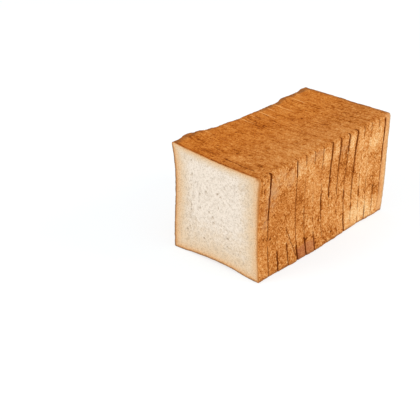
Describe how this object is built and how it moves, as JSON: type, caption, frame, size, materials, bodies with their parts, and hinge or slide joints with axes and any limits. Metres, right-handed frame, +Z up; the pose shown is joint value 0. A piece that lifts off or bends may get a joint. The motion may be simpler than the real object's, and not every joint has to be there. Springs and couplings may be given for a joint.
{
  "type": "sliced tin loaf",
  "caption": "Square white tin loaf, cut through into slices that stand pressed together, with one cut face open and the crusted heel at the far end.",
  "frame": {"origin": "middle of the box round the loaf, on the surface that it stands on", "axes": "+Z up, +Y along the loaf from the open cut face to the heel, +X across it"},
  "size_m": [0.1214, 0.2186, 0.1202],
  "materials": {
    "golden_crust": "dry baked crust, golden brown with darker wrinkles and patches, faintly satin",
    "white_crumb": "fine open white crumb on the cut face, with a tan rim under a golden brown crust"
  },
  "bodies": {
    "root": {"slice_01": "white_crumb", "slice_02": "golden_crust", "slice_03": "golden_crust", "slice_04": "golden_crust", "slice_05": "golden_crust", "slice_06": "golden_crust", "slice_07": "golden_crust", "slice_08": "golden_crust", "slice_09": "golden_crust", "slice_10": "golden_crust", "slice_11": "golden_crust", "slice_12": "golden_crust", "slice_13": "golden_crust", "slice_14": "golden_crust", "slice_15": "golden_crust", "slice_16": "golden_crust"}
  },
  "joints": []
}
